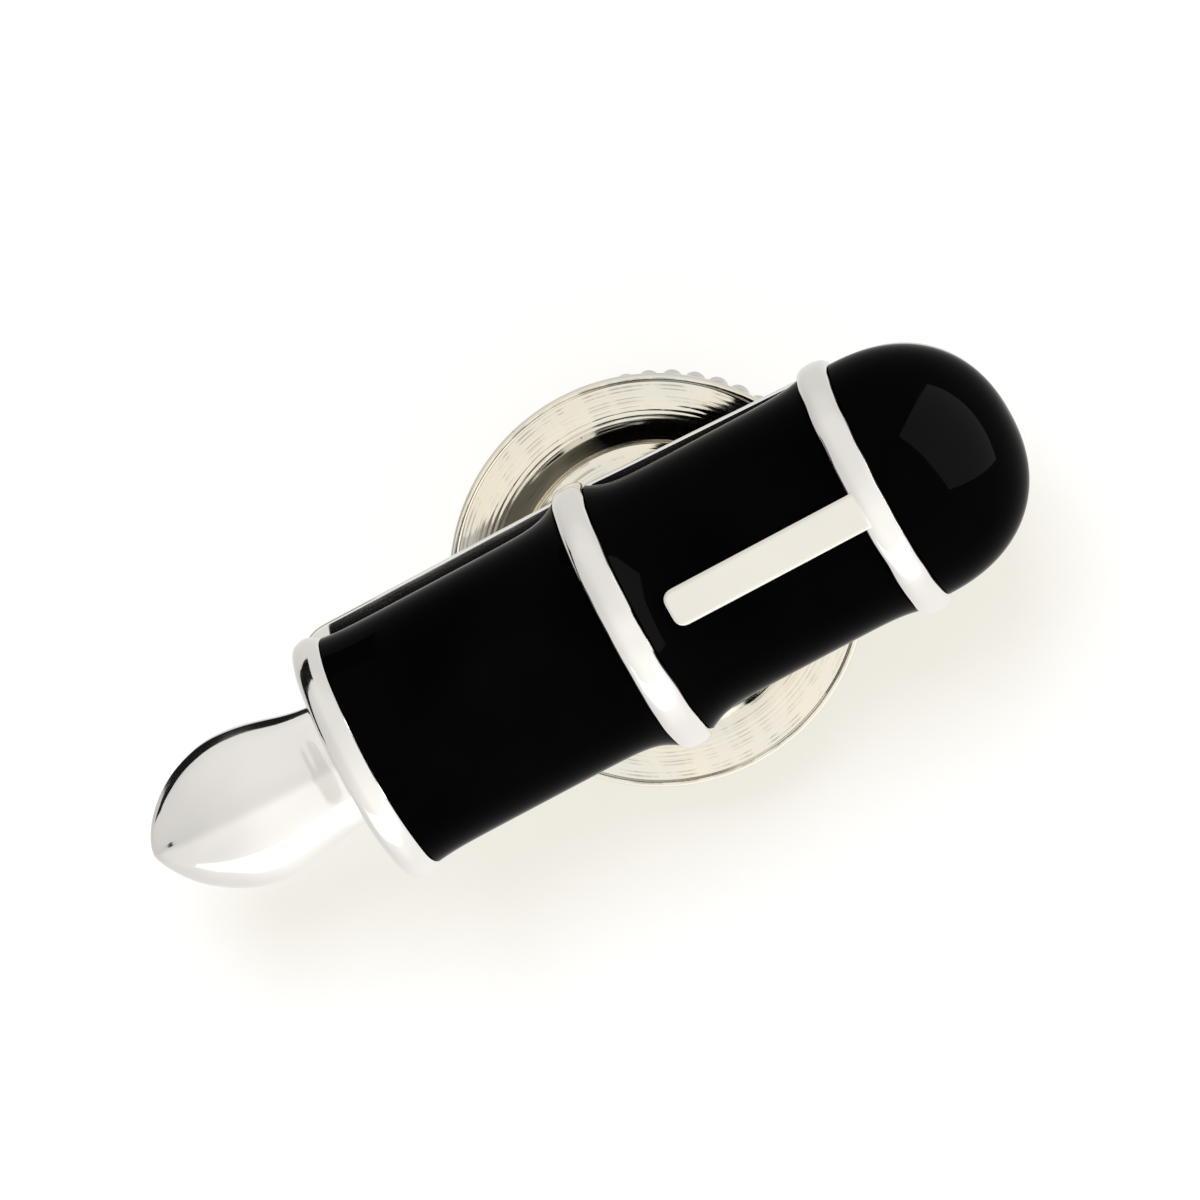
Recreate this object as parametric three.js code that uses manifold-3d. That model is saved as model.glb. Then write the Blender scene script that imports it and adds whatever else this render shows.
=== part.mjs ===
// A tie tack: a miniature fountain pen in plated metal and black enamel, with a needle post soldered to
// its flat back, held through the cloth by a ball-lock clutch. Millimetres, +Z up.
//
// Z is the post's axis and the pen's face looks up it. +X runs along the pen towards its cap end.
// The origin is the centre of the pull knob's flat rear face, on which the tack can stand.

import * as THREE from 'three';
import { mergeVertices } from 'three/addons/utils/BufferGeometryUtils.js';
import Module from 'manifold-3d';

const wasm = await Module();
wasm.setup();

// ---------------------------------------------------------------- driving dimensions

const GAP = 0.02;               // between pieces of one rigid assembly
const ROUND = 40;               // facets around a turned piece
const BIG = 60;                 // larger than the tack, for cutting blocks

// The pen, measured from its own long axis: x along the pen, z out of its face.
const PEN_AXIS_Z = 10.5;        // height of the pen's axis over the origin
const PEN_BACK = -1.7;          // where the round body is cut flat and the back plate starts
const BACK_PLATE_T = 0.25;
const BACK_PLATE_HALF = 3.22;   // half-width of the back plate
const BACK_PLATE_END_HALF = 3.0; // and under the cap ring
const CORE_R = 2.45;            // metal under the enamel
const BARREL_R = 3.03;          // enamel surfaces, clear of the rings
const CAP_R = 3.08;
const CROWN_R = 3.17;
const CROWN_END = 10.05;        // the crown's tip
const CROWN_POWER = 2.25;       // superellipse power of the crown's outline
const FLARE = 0.3;              // the enamel climbs this much at a ring
const FLARE_LENGTH = 1.1;

const COLLAR = { from: -8.35, to: -7.52, r: 3.32, crown: 0.3 };
const MIDDLE = { from: -0.89, to: -0.01, r: 3.58, crown: 0.3 };
const CAP_RING = { from: 5.84, to: 6.68, r: 3.41, crown: 0.28 };

const CLIP = { from: 0.7, width: 1.0, top: 3.4, corner: 0.28 };

const NIB_TIP = -13.85;
const NIB_WIDEST = -11.05;
const NIB_HALF = 2.08;          // half-width at its widest
const NIB_ROOT_HALF = 1.62;
const NIB_FLATNESS = 0.75;      // height of its section over width
const NIB_AXIS = -0.55;         // its own axis under the pen's

// The post.
const PAD_R = 2.0;
const PAD_T = 0.35;
const POST_R = 0.5;
const POST_TIP_Z = 0.75;
const POST_POINT = 1.2;         // length of the pointed end
const GROOVE_Z = 2.75;
const GROOVE_DEPTH = 0.08;

// The clutch. Its balls sit in a cage and wedge between the post and a cone that narrows towards the pen.
const DISC_R = 5.2;
const DISC_FACE_Z = 6.02;       // flat rim that bears on the cloth
const DISC_T = 0.42;
const DISC_DISH = 0.4;          // depth of the dished middle
const DISC_STEP_R = 3.45;       // step inside the dish
const DISC_STEP = 0.12;
const DISC_HOLE_R = 0.62;

const BALL_R = 0.45;
const BALL_Z = 4.45;
const BALL_COUNT = 3;
const BALL_CLEARANCE = 0.03;
const CONE_HALF_ANGLE = THREE.MathUtils.degToRad(15);

const HOUSING_R = 2.75;
const HOUSING_BORE_R = 2.1;
const HOUSING_REAR_Z = 1.35;
const CONE_REAR_Z = 3.9;        // the cone opens into the spring's bore here

const WASHER_T = 0.2;
const SEAT_T = 0.15;

const CAGE_BORE_R = 0.62;
const CAGE_R = 1.1;
const CAGE_FRONT_Z = 5.08;
const CAGE_FLANGE_R = 1.85;
const CAGE_FLANGE_T = 0.2;
const CAGE_FLANGE_Z = 3.6;      // the flange's rear face, which the spring presses

const WIRE_R = 0.1;
const SPRING_R = 1.5;           // mean radius of a coil
const SPRING_TURNS = 3.5;

const KNOB_FLAT_R = 3.3;        // flat rear face
const KNOB_FLOOR_T = 0.45;
const KNOB_WALL_R = 4.42;       // under the beads
const KNOB_INNER_R = 3.85;
const KNOB_BAND = { from: 0.7, to: 2.1 };
const KNOB_FRONT_Z = 2.25;
const BEAD_COUNT = 48;
const BEAD_R = 0.3;
const BOSS_R = 1.6;
const BOSS_TOP_Z = 0.95;

// ---------------------------------------------------------------- materials

const metal = (color, roughness) => new THREE.MeshStandardMaterial({ color, roughness, metalness: 1 });

const PLATED = metal(0xdedcd6, 0.12);
const NICKEL = metal(0xbfb8aa, 0.28);
const STEEL = metal(0xc4c6c8, 0.15);
const ENAMEL = new THREE.MeshStandardMaterial({ color: 0x050506, roughness: 0.12, metalness: 0 });

// ---------------------------------------------------------------- solids

// A closed mesh as a manifold solid, facing out.
function solidOf(geometry) {
  const bare = new THREE.BufferGeometry();
  bare.setAttribute('position', geometry.getAttribute('position'));
  bare.setIndex(geometry.getIndex());
  const merged = mergeVertices(bare, 1e-5);
  const index = merged.getIndex().array;
  const kept = [];
  for (let i = 0; i < index.length; i += 3) {
    const [a, b, c] = [index[i], index[i + 1], index[i + 2]];
    if (a !== b && b !== c && c !== a) kept.push(a, b, c);
  }
  const vertProperties = new Float32Array(merged.getAttribute('position').array);
  const build = (triVerts) =>
    new wasm.Manifold(new wasm.Mesh({ numProp: 3, vertProperties, triVerts: new Uint32Array(triVerts) }));
  return signedVolume(vertProperties, kept) > 0 ? build(kept) : build(kept.reverse());
}

function signedVolume(positions, index) {
  const corner = (i) => new THREE.Vector3().fromArray(positions, 3 * index[i]);
  let sum = 0;
  for (let i = 0; i < index.length; i += 3) {
    sum += corner(i).dot(corner(i + 1).cross(corner(i + 2))) / 6;
  }
  return sum;
}

function geometryOf(solid) {
  const { vertProperties, triVerts, numProp } = solid.getMesh();
  const positions = new Float32Array((vertProperties.length / numProp) * 3);
  for (let i = 0; i < positions.length / 3; i++) {
    positions.set(vertProperties.subarray(i * numProp, i * numProp + 3), i * 3);
  }
  const geometry = new THREE.BufferGeometry();
  geometry.setAttribute('position', new THREE.BufferAttribute(positions, 3));
  geometry.setIndex(new THREE.BufferAttribute(new Uint32Array(triVerts), 1));
  geometry.computeVertexNormals();
  return geometry;
}

// A solid turned about Z from [radius, z] points, listed around a closed outline.
function turned(points, segments = ROUND) {
  const closed = [...points, points[0]].map(([r, z]) => new THREE.Vector2(r, z));
  return solidOf(new THREE.LatheGeometry(closed, segments).rotateX(Math.PI / 2));
}

// A solid turned about the pen's axis from [x, radius] points that run from its nib end to its cap end.
function turnedAlongPen(points, segments = ROUND) {
  const [start, end] = [points[0][0], points.at(-1)[0]];
  const closed = [[start, 0], ...points, [end, 0]].map(([x, r]) => new THREE.Vector2(r, x));
  return solidOf(new THREE.LatheGeometry(closed, segments).rotateZ(-Math.PI / 2));
}

// An outline in X and Y, drawn up from one height to another.
function plate(points, bottom, top) {
  const shape = new THREE.Shape(points.map(([x, y]) => new THREE.Vector2(x, y)));
  const geometry = new THREE.ExtrudeGeometry(shape, { depth: top - bottom, bevelEnabled: false });
  return solidOf(geometry.translate(0, 0, bottom));
}

function block(sizeX, sizeY, sizeZ, x, y, z) {
  return solidOf(new THREE.BoxGeometry(sizeX, sizeY, sizeZ).translate(x, y, z));
}

// An outline's upper half, with its mirror image below the X axis.
const mirrored = (points) => [...points, ...points.map(([x, y]) => [x, -y]).reverse()];

// A turned length of the pen, cut flat at the back.
function flatBacked(points) {
  const front = block(BIG, BIG, BIG, 0, 0, PEN_BACK + BIG / 2);
  return turnedAlongPen(points).intersect(front);
}

// ---------------------------------------------------------------- the pen's outlines

// The crown's outline from its base to a tip that is inset from the outer surface.
function crownOutline(base, inset, steps = 9) {
  const length = CROWN_END - base - inset;
  const radius = CROWN_R - inset;
  const points = [];
  for (let i = 0; i < steps; i++) {
    const angle = (i / (steps - 0.5)) * (Math.PI / 2);
    const along = length * Math.sin(angle) ** (2 / CROWN_POWER);
    points.push([base + along, radius * Math.cos(angle) ** (2 / CROWN_POWER)]);
  }
  points.push([base + length, 0.02]);
  return points;
}

// An enamel surface between two rings, climbing a little onto each of them.
function meniscus(from, to, radius, steps = 4) {
  const points = [];
  for (let i = 0; i <= steps; i++) {
    const away = (i / steps) * FLARE_LENGTH;
    points.push([away, radius + FLARE * (1 - i / steps) ** 2]);
  }
  const rising = points.map(([x, r]) => [to - x, r]).reverse();
  return [...points.map(([x, r]) => [from + x, r]), ...rising];
}

// A ring's outline: a flat band with both edges rounded.
function crowned({ from, to, r, crown }, steps = 4) {
  const left = [];
  for (let i = 0; i <= steps; i++) {
    const angle = (i / steps) * (Math.PI / 2);
    left.push([from + crown * (1 - Math.sin(angle)), r - crown * (1 - Math.cos(angle))]);
  }
  const right = left.map(([x, y]) => [from + to - x, y]);
  return [...left.reverse(), ...right];
}

// ---------------------------------------------------------------- the pen's pieces

function coreSolid(grow = 0) {
  const start = COLLAR.to + GAP - grow;
  const base = CAP_RING.to;
  const dome = crownOutline(base, CROWN_R - CORE_R - grow);
  return flatBacked([[start, CORE_R + grow], ...dome]);
}

function clipOutline(grow = 0, steps = 4) {
  const half = CLIP.width / 2 + grow;
  const points = [[CAP_RING.from - GAP, half]];
  for (let i = 0; i <= steps; i++) {
    const angle = (i / steps) * (Math.PI / 2);
    const x = CLIP.from - grow + CLIP.corner * (1 - Math.sin(angle));
    points.push([x, half - CLIP.corner * (1 - Math.cos(angle))]);
  }
  return mirrored(points);
}

function clipSolid() {
  return plate(clipOutline(), CORE_R + GAP, CLIP.top);
}

function ringSolid(ring) {
  return flatBacked(crowned(ring)).subtract(coreSolid(GAP));
}

function enamelSolid(outline) {
  return flatBacked(outline).subtract(coreSolid(GAP));
}

function barrelEnamel() {
  return enamelSolid(meniscus(COLLAR.to + GAP, MIDDLE.from - GAP, BARREL_R));
}

function capEnamel() {
  const slot = plate(clipOutline(GAP), 0, BIG / 2);
  return enamelSolid(meniscus(MIDDLE.to + GAP, CAP_RING.from - GAP, CAP_R)).subtract(slot);
}

function crownEnamel() {
  return enamelSolid(crownOutline(CAP_RING.to + GAP, 0, 12));
}

// The back plate stands a little wider than the enamel and narrows towards the crown.
function backPlate() {
  const crown = crownOutline(CAP_RING.to, CROWN_R - BACK_PLATE_END_HALF);
  const outline = [[COLLAR.from, BACK_PLATE_HALF], [MIDDLE.to, BACK_PLATE_HALF], ...crown];
  return plate(mirrored(outline), PEN_BACK - BACK_PLATE_T, PEN_BACK - GAP);
}

// The nib's plan: a leaf that swells from its root to its widest place and closes to a point.
function nibHalfWidth(x) {
  if (x > NIB_WIDEST) {
    const share = (x - NIB_WIDEST) / (COLLAR.from - NIB_WIDEST);
    return NIB_HALF - (NIB_HALF - NIB_ROOT_HALF) * share ** 2;
  }
  const share = (NIB_WIDEST - x) / (NIB_WIDEST - NIB_TIP);
  return NIB_HALF * (1 - share ** 1.8);
}

function nibSolid() {
  const steps = 14;
  const root = COLLAR.from - GAP;
  const outline = [];
  for (let i = 0; i <= steps; i++) {
    const x = NIB_TIP + (root - NIB_TIP) * (i / steps) ** 1.3;
    outline.push([x, Math.max(nibHalfWidth(x), 0.02)]);
  }
  const leaf = turnedAlongPen(outline, 32).scale([1, 1, NIB_FLATNESS]).translate([0, 0, NIB_AXIS]);
  return leaf.intersect(block(BIG, BIG, BIG, 0, 0, PEN_BACK + BIG / 2));
}

// ---------------------------------------------------------------- the post

const BACK_FACE_Z = PEN_AXIS_Z + PEN_BACK - BACK_PLATE_T;

function postPad() {
  const [top, bottom] = [BACK_FACE_Z - GAP, BACK_FACE_Z - PAD_T];
  const bore = POST_R + GAP;
  return turned([[bore, bottom], [PAD_R - 0.1, bottom], [PAD_R, bottom + 0.1], [PAD_R, top], [bore, top]]);
}

function needlePost() {
  const shoulder = POST_TIP_Z + POST_POINT;
  return turned([
    [0, POST_TIP_Z],
    [0.1, POST_TIP_Z + 0.04],
    [POST_R, shoulder],
    [POST_R, GROOVE_Z - 0.2],
    [POST_R - GROOVE_DEPTH, GROOVE_Z - 0.1],
    [POST_R - GROOVE_DEPTH, GROOVE_Z + 0.1],
    [POST_R, GROOVE_Z + 0.2],
    [POST_R, BACK_FACE_Z - GAP],
    [0, BACK_FACE_Z - GAP],
  ], 24);
}

// ---------------------------------------------------------------- the clutch

// Radius of the cone's wall at a height: it touches the balls, less their clearance.
function coneRadius(z) {
  const centre = POST_R + BALL_R + BALL_CLEARANCE;
  const wall = centre + (BALL_R + BALL_CLEARANCE) / Math.cos(CONE_HALF_ANGLE);
  return wall - (z - BALL_Z) * Math.tan(CONE_HALF_ANGLE);
}

function flangeDisc() {
  const floor = DISC_FACE_Z - DISC_DISH;
  const middle = floor - DISC_STEP;
  const rear = middle - DISC_T;
  return turned([
    [DISC_HOLE_R, rear],
    [HOUSING_R + 0.4, rear],
    [DISC_R - 0.6, DISC_FACE_Z - DISC_T - 0.1],
    [DISC_R - 0.08, DISC_FACE_Z - DISC_T],
    [DISC_R, DISC_FACE_Z - DISC_T + 0.08],
    [DISC_R, DISC_FACE_Z - 0.06],
    [DISC_R - 0.06, DISC_FACE_Z],
    [DISC_R - 0.3, DISC_FACE_Z],
    [DISC_R - 0.42, DISC_FACE_Z - 0.12],
    [DISC_STEP_R + 0.08, floor],
    [DISC_STEP_R, middle],
    [DISC_HOLE_R + 0.25, middle],
    [DISC_HOLE_R, middle - 0.1],
  ], 60);
}

const DISC_REAR_Z = DISC_FACE_Z - DISC_DISH - DISC_STEP - DISC_T;

function coneHousing() {
  const front = DISC_REAR_Z - GAP;
  return turned([
    [coneRadius(front), front],
    [HOUSING_R, front],
    [HOUSING_R, front - 0.5],
    [HOUSING_R - 0.15, front - 0.65],
    [HOUSING_R - 0.15, HOUSING_REAR_Z + 0.12],
    [HOUSING_R - 0.27, HOUSING_REAR_Z],
    [HOUSING_BORE_R, HOUSING_REAR_Z],
    [HOUSING_BORE_R, CONE_REAR_Z - 0.1],
    [coneRadius(CONE_REAR_Z), CONE_REAR_Z],
  ]);
}

function closingWasher() {
  const [bottom, top] = [HOUSING_REAR_Z + 0.02, HOUSING_REAR_Z + 0.02 + WASHER_T];
  const [inner, outer] = [CAGE_R + 0.1, HOUSING_BORE_R - GAP];
  return turned([[inner, bottom], [outer, bottom], [outer, top], [inner, top]]);
}

const SEAT_Z = HOUSING_REAR_Z + 0.02 + WASHER_T + GAP;
const SPRING_FIXED_Z = SEAT_Z + SEAT_T + GAP;

function springSeat() {
  const [bottom, top] = [SEAT_Z, SEAT_Z + SEAT_T];
  const [inner, outer] = [CAGE_R + 0.08, HOUSING_BORE_R - 0.12];
  return turned([[inner, bottom], [outer, bottom], [outer, top], [inner, top]]);
}

// The spring's wire follows a helix between the seat and the cage's flange.
class Helix extends THREE.Curve {
  getPoint(t, target = new THREE.Vector3()) {
    const angle = 2 * Math.PI * SPRING_TURNS * t;
    const [low, high] = [SPRING_FIXED_Z + WIRE_R, CAGE_FLANGE_Z - GAP - WIRE_R];
    const z = low + (high - low) * t;
    return target.set(SPRING_R * Math.cos(angle), SPRING_R * Math.sin(angle), z);
  }
}

function returnSpring() {
  const wire = new THREE.Shape();
  wire.absarc(0, 0, WIRE_R, 0, 2 * Math.PI, false);
  const options = { steps: Math.round(16 * SPRING_TURNS), curveSegments: 4, extrudePath: new Helix() };
  return solidOf(new THREE.ExtrudeGeometry(wire, { ...options, bevelEnabled: false }));
}

// A tube around the post with a flange for the spring and a round pocket for each ball.
function ballCage() {
  const rear = KNOB_FLOOR_T + GAP;
  const flangeTop = CAGE_FLANGE_Z + CAGE_FLANGE_T;
  let cage = turned([
    [CAGE_BORE_R, rear],
    [CAGE_R, rear],
    [CAGE_R, CAGE_FLANGE_Z],
    [CAGE_FLANGE_R, CAGE_FLANGE_Z],
    [CAGE_FLANGE_R - 0.15, flangeTop],
    [CAGE_R, flangeTop],
    [CAGE_R, CAGE_FRONT_Z],
    [CAGE_BORE_R, CAGE_FRONT_Z],
  ]);
  for (let i = 0; i < BALL_COUNT; i++) {
    const pocket = new THREE.CylinderGeometry(BALL_R + 0.04, BALL_R + 0.04, 3, 24);
    pocket.rotateZ(Math.PI / 2).translate(1.5, 0, BALL_Z).rotateZ(ballAngle(i));
    cage = cage.subtract(solidOf(pocket));
  }
  return cage;
}

const ballAngle = (i) => (2 * Math.PI * i) / BALL_COUNT;

function ball(i) {
  const reach = POST_R + BALL_R + BALL_CLEARANCE;
  const sphere = new THREE.SphereGeometry(BALL_R, 16, 10).rotateX(Math.PI / 2);
  return solidOf(sphere.translate(reach * Math.cos(ballAngle(i)), reach * Math.sin(ballAngle(i)), BALL_Z));
}

// A cup behind the housing with a beaded grip round its wall and a boss that holds the cage.
function pullKnob() {
  let knob = turned([
    [0, 0],
    [KNOB_FLAT_R, 0],
    [KNOB_FLAT_R + 0.45, 0.1],
    [KNOB_WALL_R - 0.28, 0.35],
    [KNOB_WALL_R - 0.06, KNOB_BAND.from - 0.05],
    [KNOB_WALL_R, KNOB_BAND.from + 0.1],
    [KNOB_WALL_R, KNOB_BAND.to],
    [KNOB_WALL_R - 0.15, KNOB_FRONT_Z],
    [KNOB_INNER_R, KNOB_FRONT_Z],
    [KNOB_INNER_R, KNOB_FLOOR_T],
    [BOSS_R, KNOB_FLOOR_T],
    [BOSS_R, BOSS_TOP_Z - 0.1],
    [BOSS_R - 0.1, BOSS_TOP_Z],
    [CAGE_R + GAP, BOSS_TOP_Z],
    [CAGE_R + GAP, KNOB_FLOOR_T],
    [0, KNOB_FLOOR_T],
  ], BEAD_COUNT);
  for (let i = 0; i < BEAD_COUNT; i++) {
    const length = KNOB_BAND.to - KNOB_BAND.from - 2 * BEAD_R;
    const bead = new THREE.CapsuleGeometry(BEAD_R, length, 2, 7).rotateX(Math.PI / 2);
    bead.translate(KNOB_WALL_R, 0, (KNOB_BAND.from + KNOB_BAND.to) / 2);
    knob = knob.add(solidOf(bead.rotateZ((2 * Math.PI * i) / BEAD_COUNT)));
  }
  return knob;
}

// ---------------------------------------------------------------- assembly

const tack = new THREE.Group();
const pen = new THREE.Group();
pen.position.z = PEN_AXIS_Z;
tack.add(pen);

function place(parent, name, solid, material) {
  const mesh = new THREE.Mesh(geometryOf(solid), material);
  mesh.name = name;
  parent.add(mesh);
}

place(pen, 'body_casting', coreSolid(), PLATED);
place(pen, 'back_plate', backPlate(), PLATED);
place(pen, 'nib', nibSolid(), PLATED);
place(pen, 'nib_collar', flatBacked(crowned(COLLAR)), PLATED);
place(pen, 'middle_ring', ringSolid(MIDDLE), PLATED);
place(pen, 'cap_ring', ringSolid(CAP_RING), PLATED);
place(pen, 'pocket_clip', clipSolid(), PLATED);
place(pen, 'barrel_enamel', barrelEnamel(), ENAMEL);
place(pen, 'cap_enamel', capEnamel(), ENAMEL);
place(pen, 'crown_enamel', crownEnamel(), ENAMEL);

place(tack, 'post_pad', postPad(), PLATED);
place(tack, 'needle_post', needlePost(), STEEL);

place(tack, 'flange_disc', flangeDisc(), NICKEL);
place(tack, 'cone_housing', coneHousing(), NICKEL);
place(tack, 'closing_washer', closingWasher(), NICKEL);
place(tack, 'spring_seat', springSeat(), STEEL);
place(tack, 'return_spring', returnSpring(), STEEL);
place(tack, 'ball_cage', ballCage(), NICKEL);
place(tack, 'pull_knob', pullKnob(), NICKEL);
for (let i = 0; i < BALL_COUNT; i++) {
  place(tack, `lock_ball_${i + 1}`, ball(i), STEEL);
}

export default tack;
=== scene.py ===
"""A tie tack: a miniature fountain pen in plated metal and black enamel on a ball-lock clutch.

The frame is the CAD model's: Z is the post's axis, +X runs along the pen to its cap end, z = 0 is the
rear face of the pull knob. Sizes are in millimetres, and MM takes them to Blender's metres.
"""
import math

import bmesh
import bpy
from mathutils import Matrix, Vector, noise


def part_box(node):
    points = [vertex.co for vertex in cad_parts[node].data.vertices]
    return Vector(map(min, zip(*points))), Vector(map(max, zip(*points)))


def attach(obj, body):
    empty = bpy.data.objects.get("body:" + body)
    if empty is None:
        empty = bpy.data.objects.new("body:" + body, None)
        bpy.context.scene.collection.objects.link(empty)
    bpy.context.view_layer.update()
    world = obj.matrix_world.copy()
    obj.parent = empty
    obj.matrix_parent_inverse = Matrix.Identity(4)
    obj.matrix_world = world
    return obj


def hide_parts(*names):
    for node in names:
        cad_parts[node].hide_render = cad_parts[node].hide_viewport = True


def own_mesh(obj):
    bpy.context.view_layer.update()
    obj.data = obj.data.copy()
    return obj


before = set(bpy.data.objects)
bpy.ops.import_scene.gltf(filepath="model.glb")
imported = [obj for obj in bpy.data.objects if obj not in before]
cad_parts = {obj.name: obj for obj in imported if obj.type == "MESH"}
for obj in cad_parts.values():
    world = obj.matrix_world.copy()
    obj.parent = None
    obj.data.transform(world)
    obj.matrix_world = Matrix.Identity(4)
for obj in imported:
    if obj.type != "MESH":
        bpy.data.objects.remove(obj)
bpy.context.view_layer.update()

noise.seed_set(1)  # it would start from the clock otherwise, and no two runs would be the same
MM = 0.001
TAU = 2 * math.pi


# ---------------------------------------------------------------- sizes, from the frame

class Box:
    """A CAD node's box at rest, in millimetres."""

    def __init__(self, node):
        low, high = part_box(node)
        self.low = Vector(low) / MM
        self.high = Vector(high) / MM
        self.size = self.high - self.low
        self.middle = (self.low + self.high) / 2


COLLAR = Box("nib_collar")
MIDDLE = Box("middle_ring")
CAP_RING = Box("cap_ring")
CROWN = Box("crown_enamel")
NIB = Box("nib")
CLIP = Box("pocket_clip")
PLATE = Box("back_plate")
PAD = Box("post_pad")
POST = Box("needle_post")
DISC = Box("flange_disc")
HOUSING = Box("cone_housing")
WASHER = Box("closing_washer")
SEAT = Box("spring_seat")
SPRING = Box("return_spring")
KNOB = Box("pull_knob")

PEN_Z = MIDDLE.high.z - MIDDLE.size.y / 2  # height of the pen's own axis
PEN_BACK = PLATE.high.z                    # where the round pen is cut flat
CORE_R = Box("body_casting").size.y / 2    # metal under the enamel
SEAM = 0.01                                # hairline between enamel and metal

BARREL_R = 3.03                            # enamel surfaces, clear of the rings
CAP_R = 3.08
CROWN_POWER = 2.25                         # 2 would be a plain ellipse
RING_STANDS_OUT = 0.22                     # how far the rings stand out of the enamel that meets them
CLIMB_LENGTH = 0.42                        # how far from a ring the enamel starts to climb
CLIP_CLIMB = 0.07                          # how high the enamel climbs the clip

NIB_HALF = 2.0                             # half-width of the nib at its widest
NIB_WIDEST = -11.05                        # where that is
NIB_ROOT_DROP = 0.42                       # how much narrower each side is at the collar
NIB_EDGE_SLOPE = 0.94                      # of the narrow facet along its +Y edge
NIB_HEIGHT = 1.05                          # of its ridge over its edge, at its widest

PLATE_INSET = 0.22                         # how much narrower each side of the plate is at the crown
PLATE_CORNER_R = 0.9                       # its corners at the nib end

POST_POINT = 1.2                           # length of the post's point
POST_GROOVE = 2.0                          # from the tip to the middle of the groove
GROOVE_DEPTH = 0.08

DISC_DISH_DEPTH = 0.085                    # from the rim down to the top of the step
DISC_STEP_DEPTH = 0.27                     # from the rim down to the foot of the step
DISC_STEP_R = 3.45
DISC_HOLE_R = 0.62
CONE_FRONT_R, CONE_REAR_R = 1.28, 1.62     # the housing's bore, which narrows towards the pen
CAGE_TUBE_R = 1.1
BALL_COUNT = 3
SPRING_TURNS = 3.5
BEAD_COUNT = 48
BEAD_R = 0.30
BEAD_BAND = (0.70, 2.10)                   # where the beads start and end over the knob's rear

CAMERA_DISTANCE = 0.3                      # metres
CAMERA_TOWARDS_CAP = math.radians(6.45)
CAMERA_RAISED = math.radians(5.7)
CAMERA_ROLL = math.radians(28.64)
FRAME_WIDTH = 29.39                        # seen across the picture at the pen's axis
AIM = (-0.984, 0.713)                      # along the pen and up the picture from the post

BRIGHT_PLATING = (0.93, 0.922, 0.905)
GLOSSY_BLACK = bpy.data.collections.new("enamel_pieces")  # the key light shines only on these


# ---------------------------------------------------------------- mesh tools

def arc(centre, radius, start, end, steps):
    """Points on an arc, with its angles in degrees."""
    points = []
    for i in range(steps + 1):
        angle = math.radians(start + (end - start) * i / steps)
        points.append((centre[0] + radius * math.cos(angle), centre[1] + radius * math.sin(angle)))
    return points


def softened(outline, radius, steps=3, closed=True):
    """An outline with each corner rounded. A point may carry its own radius as a third value."""
    result = []
    count = len(outline)
    for i, point in enumerate(outline):
        corner = Vector(point[:2])
        size = point[2] if len(point) > 2 else radius
        if size == 0 or (not closed and i in (0, count - 1)):
            result.append(tuple(corner))
            continue
        before = Vector(outline[i - 1][:2]) - corner
        after = Vector(outline[(i + 1) % count][:2]) - corner
        reach = min(size, 0.45 * before.length, 0.45 * after.length)
        start = corner + before.normalized() * reach
        end = corner + after.normalized() * reach
        for j in range(steps + 1):
            t = j / steps
            bend = start * (1 - t) ** 2 + corner * 2 * t * (1 - t) + end * t ** 2
            result.append(tuple(bend))
    return result


def turned(outline, turns=128, closed=True):
    """A mesh turned about Z from (radius, z) points. An open outline starts and ends on the axis."""
    bm = bmesh.new()
    rings = []
    for radius, z in outline:
        if radius < 1e-6:
            rings.append([bm.verts.new((0, 0, z))])
            continue
        ring = []
        for i in range(turns):
            angle = TAU * i / turns
            ring.append(bm.verts.new((radius * math.cos(angle), radius * math.sin(angle), z)))
        rings.append(ring)
    pairs = list(zip(rings, rings[1:]))
    if closed:
        pairs.append((rings[-1], rings[0]))
    for lower, upper in pairs:
        join_rings(bm, lower, upper)
    bmesh.ops.recalc_face_normals(bm, faces=bm.faces)
    return bm


def join_rings(bm, lower, upper):
    """Faces between two rings of vertices, either of which may be a single point."""
    count = max(len(lower), len(upper))
    if count == 1:
        return
    for i in range(count):
        j = (i + 1) % count
        below = [lower[i % len(lower)], lower[j % len(lower)]]
        above = [upper[j % len(upper)], upper[i % len(upper)]]
        bm.faces.new(list(dict.fromkeys(below + above)))


def swept(points, radius, sides=12):
    """A round wire along a list of points, with capped ends."""
    bm = bmesh.new()
    rings = []
    for i, point in enumerate(points):
        along = (points[min(i + 1, len(points) - 1)] - points[max(i - 1, 0)]).normalized()
        across = along.cross(Vector((0, 0, 1))).normalized()
        up = across.cross(along)
        ring = []
        for j in range(sides):
            angle = TAU * j / sides
            ring.append(bm.verts.new(point + radius * (math.cos(angle) * across + math.sin(angle) * up)))
        rings.append(ring)
    for lower, upper in zip(rings, rings[1:]):
        join_rings(bm, lower, upper)
    bm.faces.new(rings[0])
    bm.faces.new(rings[-1])
    bmesh.ops.recalc_face_normals(bm, faces=bm.faces)
    return bm


def drawn_up(outline, bottom, top):
    """A flat outline in X and Y, drawn up between two heights."""
    bm = bmesh.new()
    lower = [bm.verts.new((x, y, bottom)) for x, y in outline]
    upper = [bm.verts.new((x, y, top)) for x, y in outline]
    join_rings(bm, lower, upper)
    bm.faces.new(lower)
    bm.faces.new(upper)
    bmesh.ops.recalc_face_normals(bm, faces=bm.faces)
    return bm


def direction(azimuth, elevation=0):
    """A unit vector from degrees: azimuth turns from +X towards +Y, and elevation lifts it to +Z."""
    turn, lift = math.radians(azimuth), math.radians(elevation)
    return Vector((math.cos(lift) * math.cos(turn), math.cos(lift) * math.sin(turn), math.sin(lift)))


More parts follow.
